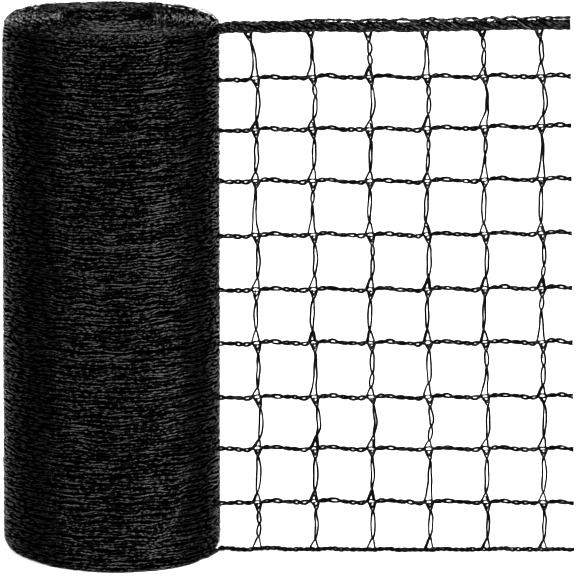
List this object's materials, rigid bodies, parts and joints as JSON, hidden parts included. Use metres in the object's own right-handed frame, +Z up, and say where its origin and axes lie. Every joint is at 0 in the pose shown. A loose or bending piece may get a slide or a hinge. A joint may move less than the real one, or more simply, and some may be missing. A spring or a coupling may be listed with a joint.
{
  "type": "bird netting roll",
  "caption": "Hollow roll of black knitted bird netting standing on its end, with a square-mesh free end drawn out to one side and a thick cord along its top edge",
  "frame": {"origin": "under the middle of the whole object's box, on the surface that the roll stands on", "axes": "+Z up along the roll's axis and across the net's width, +X the way the loose end is drawn out from the roll, -Y the side that the loose end is seen from"},
  "size_m": [0.1996, 0.0758, 0.19],
  "materials": {
    "wound_net": "glossy black polyethylene filament, wound in many layers",
    "loose_net": "glossy black polyethylene filament, knitted in an open square mesh",
    "edge_cord": "glossy black polyethylene filaments, knitted into a thick edge cord"
  },
  "bodies": {
    "root": {"wound_roll": "wound_net", "loose_net": "loose_net", "edge_cord": "edge_cord"}
  },
  "joints": []
}
